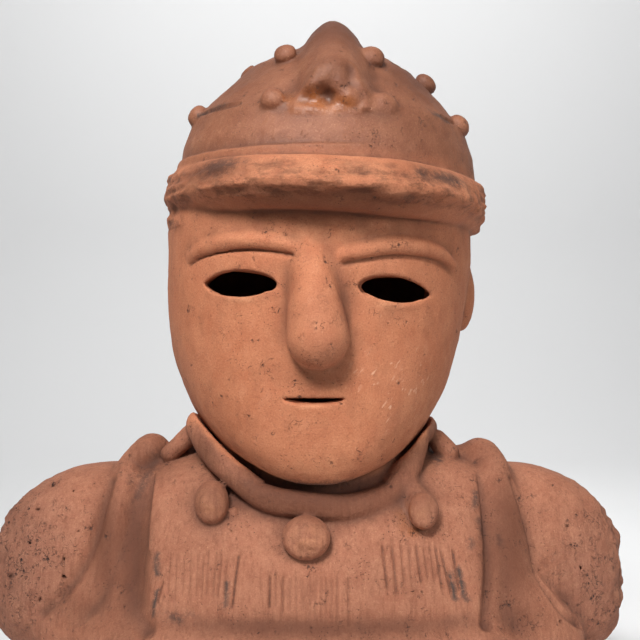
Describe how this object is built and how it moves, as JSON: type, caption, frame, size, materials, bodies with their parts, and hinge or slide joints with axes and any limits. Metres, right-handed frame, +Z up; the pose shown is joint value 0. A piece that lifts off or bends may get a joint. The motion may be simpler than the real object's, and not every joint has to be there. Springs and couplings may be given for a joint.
{
  "type": "haniwa figure",
  "caption": "Hollow fired-clay bust of a helmeted haniwa figure with cut-through eyes and mouth, a brimmed and crested helmet, a beaded collar and broken arm stumps, open below.",
  "frame": {"origin": "centre of the footprint on the flat underside", "axes": "+Z up along the neck, the face looks along -Y, +X towards the viewer's right as they face the figure"},
  "size_m": [0.3494, 0.204, 0.3668],
  "materials": {
    "fired_clay": "matte"
  },
  "bodies": {
    "root": {"haniwa_figure": "fired_clay"}
  },
  "joints": []
}
